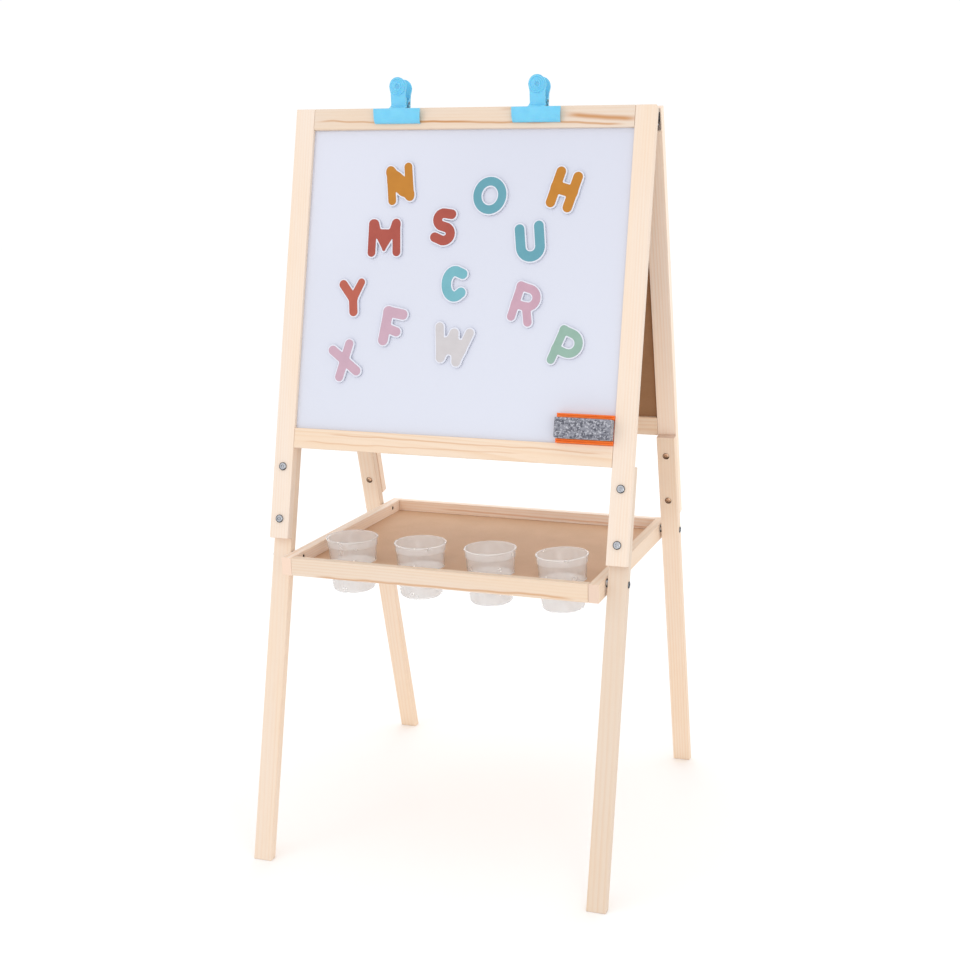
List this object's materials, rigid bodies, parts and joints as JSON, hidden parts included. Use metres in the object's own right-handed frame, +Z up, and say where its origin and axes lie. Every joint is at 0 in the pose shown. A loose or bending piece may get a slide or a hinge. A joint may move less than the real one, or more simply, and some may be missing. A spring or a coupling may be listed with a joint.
{
  "type": "kids easel",
  "caption": "Child's folding double-sided easel of pine with a whiteboard, a chalkboard, clips, magnetic letters, an eraser and a tray with paint cups.",
  "frame": {"origin": "on the floor, in the middle of the easel's footprint", "axes": "+Z up, X across the easel with its right side at +X when looking at the whiteboard, -Y the whiteboard side and +Y the chalkboard side"},
  "size_m": [0.559, 0.5402, 1.1472],
  "materials": {
    "pine": "clear satin",
    "whiteboard": "gloss white lacquer on hardboard",
    "chalkboard": "matt",
    "hardboard": "raw",
    "zinc": "bright zinc",
    "frosted": "frosted",
    "blue_plastic": "satin",
    "orange_plastic": "satin",
    "felt": "felt",
    "mustard": "matt",
    "brick": "matt",
    "teal": "matt",
    "mauve": "matt",
    "sage": "matt",
    "oat": "matt"
  },
  "bodies": {
    "front_frame": {"front_post_left": "pine", "front_post_right": "pine", "front_leg_left": "pine", "front_leg_right": "pine", "front_top_rail": "pine", "front_bottom_rail": "pine", "whiteboard_panel": "whiteboard", "front_bolt_left_upper": "zinc", "front_bolt_left_lower": "zinc", "front_bolt_right_upper": "zinc", "front_bolt_right_lower": "zinc", "hinge_left_front_leaf": "zinc", "hinge_right_front_leaf": "zinc", "tray_bolt_front_left": "zinc", "tray_bolt_front_right": "zinc"},
    "rear_frame": {"rear_post_left": "pine", "rear_post_right": "pine", "rear_leg_left": "pine", "rear_leg_right": "pine", "rear_top_rail": "pine", "rear_bottom_rail": "pine", "chalkboard_panel": "chalkboard", "rear_bolt_left_upper": "zinc", "rear_bolt_left_lower": "zinc", "rear_bolt_right_upper": "zinc", "rear_bolt_right_lower": "zinc", "hinge_left_rear_leaf": "zinc", "hinge_right_rear_leaf": "zinc", "tray_bolt_rear_left": "zinc", "tray_bolt_rear_right": "zinc"},
    "tray": {"tray_side_rail_left": "pine", "tray_side_rail_right": "pine", "tray_front_rail": "pine", "tray_back_rail": "pine", "tray_board": "hardboard"},
    "cup_1": {"paint_cup_1": "frosted"},
    "cup_2": {"paint_cup_2": "frosted"},
    "cup_3": {"paint_cup_3": "frosted"},
    "cup_4": {"paint_cup_4": "frosted"},
    "clip_1": {"clip_1_rear_half": "blue_plastic", "clip_1_spring": "zinc"},
    "clip_1_jaw": {"clip_1_front_half": "blue_plastic"},
    "clip_2": {"clip_2_rear_half": "blue_plastic", "clip_2_spring": "zinc"},
    "clip_2_jaw": {"clip_2_front_half": "blue_plastic"},
    "eraser": {"eraser_body": "orange_plastic", "eraser_felt": "felt"},
    "letter_n_magnet": {"letter_n": "mustard"},
    "letter_m_magnet": {"letter_m": "brick"},
    "letter_s_magnet": {"letter_s": "brick"},
    "letter_o_magnet": {"letter_o": "teal"},
    "letter_h_magnet": {"letter_h": "mustard"},
    "letter_u_magnet": {"letter_u": "teal"},
    "letter_y_magnet": {"letter_y": "brick"},
    "letter_c_magnet": {"letter_c": "teal"},
    "letter_r_magnet": {"letter_r": "mauve"},
    "letter_f_magnet": {"letter_f": "mauve"},
    "letter_x_magnet": {"letter_x": "mauve"},
    "letter_w_magnet": {"letter_w": "oat"},
    "letter_p_magnet": {"letter_p": "sage"}
  },
  "joints": [
    {"name": "fold", "type": "hinge", "parent": "front_frame", "child": "rear_frame", "pos_m": [0, 0, 1.097], "axis": [-1, 0, 0], "range_deg": [0, 25]},
    {"name": "tray_swing", "type": "hinge", "parent": "front_frame", "child": "tray", "pos_m": [0, -0.15571, 0.44843], "axis": [-1, 0, 0], "range_deg": [0, 76.5]},
    {"name": "cup_1_lift", "type": "slide", "parent": "tray", "child": "cup_1", "axis": [0, 0, 1], "range_m": [0, 0.09]},
    {"name": "cup_2_lift", "type": "slide", "parent": "tray", "child": "cup_2", "axis": [0, 0, 1], "range_m": [0, 0.09]},
    {"name": "cup_3_lift", "type": "slide", "parent": "tray", "child": "cup_3", "axis": [0, 0, 1], "range_m": [0, 0.09]},
    {"name": "cup_4_lift", "type": "slide", "parent": "tray", "child": "cup_4", "axis": [0, 0, 1], "range_m": [0, 0.09]},
    {"name": "clip_1_lift", "type": "slide", "parent": "front_frame", "child": "clip_1", "axis": [0, 0.2334, 0.9724], "range_m": [0, 0.06]},
    {"name": "clip_1_open", "type": "hinge", "parent": "clip_1", "child": "clip_1_jaw", "pos_m": [-0.111, -0.01097, 1.11043], "axis": [-1, 0, 0], "range_deg": [0, 18], "stiffness_Nm_per_rad": 0.25, "springref_deg": -8.59},
    {"name": "clip_2_lift", "type": "slide", "parent": "front_frame", "child": "clip_2", "axis": [0, 0.2334, 0.9724], "range_m": [0, 0.06]},
    {"name": "clip_2_open", "type": "hinge", "parent": "clip_2", "child": "clip_2_jaw", "pos_m": [0.104, -0.01097, 1.11043], "axis": [-1, 0, 0], "range_deg": [0, 18], "stiffness_Nm_per_rad": 0.25, "springref_deg": -8.59},
    {"name": "eraser_lift", "type": "slide", "parent": "front_frame", "child": "eraser", "axis": [0, -0.9724, 0.2334], "range_m": [0, 0.08]},
    {"name": "letter_n_lift", "type": "slide", "parent": "front_frame", "child": "letter_n_magnet", "axis": [0, -0.9724, 0.2334], "range_m": [0, 0.06]},
    {"name": "letter_m_lift", "type": "slide", "parent": "front_frame", "child": "letter_m_magnet", "axis": [0, -0.9724, 0.2334], "range_m": [0, 0.06]},
    {"name": "letter_s_lift", "type": "slide", "parent": "front_frame", "child": "letter_s_magnet", "axis": [0, -0.9724, 0.2334], "range_m": [0, 0.06]},
    {"name": "letter_o_lift", "type": "slide", "parent": "front_frame", "child": "letter_o_magnet", "axis": [0, -0.9724, 0.2334], "range_m": [0, 0.06]},
    {"name": "letter_h_lift", "type": "slide", "parent": "front_frame", "child": "letter_h_magnet", "axis": [0, -0.9724, 0.2334], "range_m": [0, 0.06]},
    {"name": "letter_u_lift", "type": "slide", "parent": "front_frame", "child": "letter_u_magnet", "axis": [0, -0.9724, 0.2334], "range_m": [0, 0.06]},
    {"name": "letter_y_lift", "type": "slide", "parent": "front_frame", "child": "letter_y_magnet", "axis": [0, -0.9724, 0.2334], "range_m": [0, 0.06]},
    {"name": "letter_c_lift", "type": "slide", "parent": "front_frame", "child": "letter_c_magnet", "axis": [0, -0.9724, 0.2334], "range_m": [0, 0.06]},
    {"name": "letter_r_lift", "type": "slide", "parent": "front_frame", "child": "letter_r_magnet", "axis": [0, -0.9724, 0.2334], "range_m": [0, 0.06]},
    {"name": "letter_f_lift", "type": "slide", "parent": "front_frame", "child": "letter_f_magnet", "axis": [0, -0.9724, 0.2334], "range_m": [0, 0.06]},
    {"name": "letter_x_lift", "type": "slide", "parent": "front_frame", "child": "letter_x_magnet", "axis": [0, -0.9724, 0.2334], "range_m": [0, 0.06]},
    {"name": "letter_w_lift", "type": "slide", "parent": "front_frame", "child": "letter_w_magnet", "axis": [0, -0.9724, 0.2334], "range_m": [0, 0.06]},
    {"name": "letter_p_lift", "type": "slide", "parent": "front_frame", "child": "letter_p_magnet", "axis": [0, -0.9724, 0.2334], "range_m": [0, 0.06]}
  ],
  "couplings": [
    {"joint": "tray_swing", "follows": "fold", "ratio": 3.06}
  ]
}
